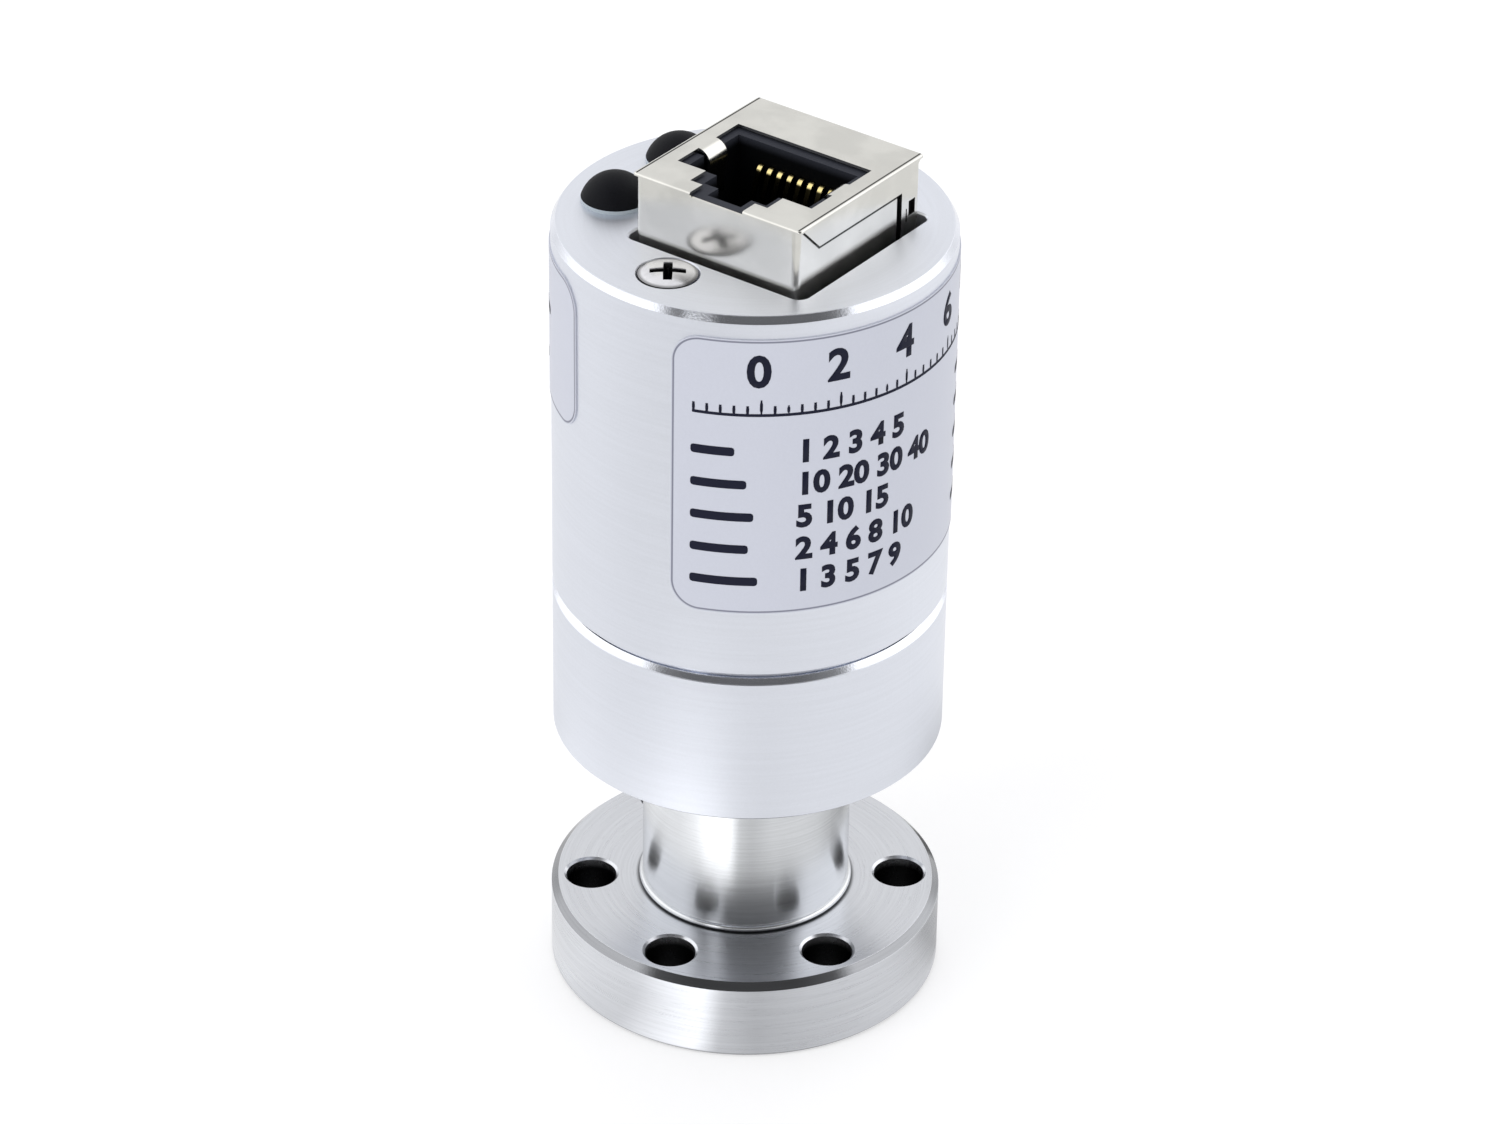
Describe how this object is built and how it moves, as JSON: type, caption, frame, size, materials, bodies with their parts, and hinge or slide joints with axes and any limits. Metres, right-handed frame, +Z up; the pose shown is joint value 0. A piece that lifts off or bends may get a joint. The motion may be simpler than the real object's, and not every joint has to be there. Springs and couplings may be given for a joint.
{
  "type": "vacuum transmitter",
  "caption": "Round vacuum transmitter: knife-edge flange and tubular neck below, aluminium housing with a shielded modular jack and rubber adjuster plugs on top.",
  "frame": {"origin": "centre of the flange's sealing face, at the bottom of the part", "axes": "+Z up the axis from the flange to the jack; X and Y along the jack's sides, with the plugs towards -X and the jack's latch side towards -Y"},
  "size_m": [0.034, 0.034, 0.0782],
  "materials": {
    "housing_aluminium": "satin, clear anodised over a fine turned surface",
    "stainless": "bright turned and polished",
    "shield_tin": "smooth bright tin plate",
    "jack_plastic": "matt moulded",
    "contact_gold": "gold plated",
    "plug_rubber": "matt, finely grained",
    "washer_nylon": "pale and smooth",
    "screw_steel": "bright",
    "pillar_steel": "nickel plated",
    "trimmer_case": "smooth",
    "rotor_brass": "turned",
    "board_laminate": "satin solder mask",
    "header_plastic": "matt moulded",
    "chip_plastic": "matt moulded",
    "coil_ferrite": "matt",
    "capacitor_can": "satin",
    "seal_glass": "fused, dark green",
    "pin_alloy": "satin",
    "sleeve_ceramic": "matt",
    "filament_wire": "drawn wire",
    "sensor_glass": "smooth",
    "label_film": "silver-grey film"
  },
  "bodies": {
    "transmitter": {"adjuster_plug_front": "plug_rubber", "adjuster_plug_rear": "plug_rubber", "amplifier_chips": "chip_plastic", "bottom_header_block": "header_plastic", "bottom_header_pins": "contact_gold", "capacitors": "capacitor_can", "controller_chip": "chip_plastic", "cover_screw_front": "screw_steel", "cover_screw_rear": "screw_steel", "feedthrough_pins": "pin_alloy", "filament": "filament_wire", "front_label": "label_film", "glass_seals": "seal_glass", "jack_board": "board_laminate", "jack_contacts": "contact_gold", "jack_insert": "jack_plastic", "jack_shield": "shield_tin", "knife_edge_flange": "stainless", "lower_housing": "housing_aluminium", "main_board": "board_laminate", "neck_tube": "stainless", "pillar_front": "pillar_steel", "pillar_rear": "pillar_steel", "pin_sleeves": "sleeve_ceramic", "plug_washer_front": "washer_nylon", "plug_washer_rear": "washer_nylon", "power_coil": "coil_ferrite", "sensor_base": "stainless", "sensor_board": "board_laminate", "side_label": "label_film", "spacer_front": "pillar_steel", "spacer_rear": "pillar_steel", "temperature_sensor": "sensor_glass", "top_header_block": "header_plastic", "top_header_pins": "contact_gold", "trimmer_body_front": "trimmer_case", "trimmer_body_rear": "trimmer_case", "upper_housing": "housing_aluminium"},
    "rotor_front": {"trimmer_rotor_front": "rotor_brass"},
    "rotor_rear": {"trimmer_rotor_rear": "rotor_brass"}
  },
  "joints": [
    {"name": "front_trimmer_turn", "type": "hinge", "parent": "transmitter", "child": "rotor_front", "pos_m": [-0.01105, -0.0044, 0.0639], "axis": [0, 0, 1], "range_deg": [-115, 115]},
    {"name": "rear_trimmer_turn", "type": "hinge", "parent": "transmitter", "child": "rotor_rear", "pos_m": [-0.01105, 0.0044, 0.0639], "axis": [0, 0, 1], "range_deg": [-115, 115]}
  ]
}
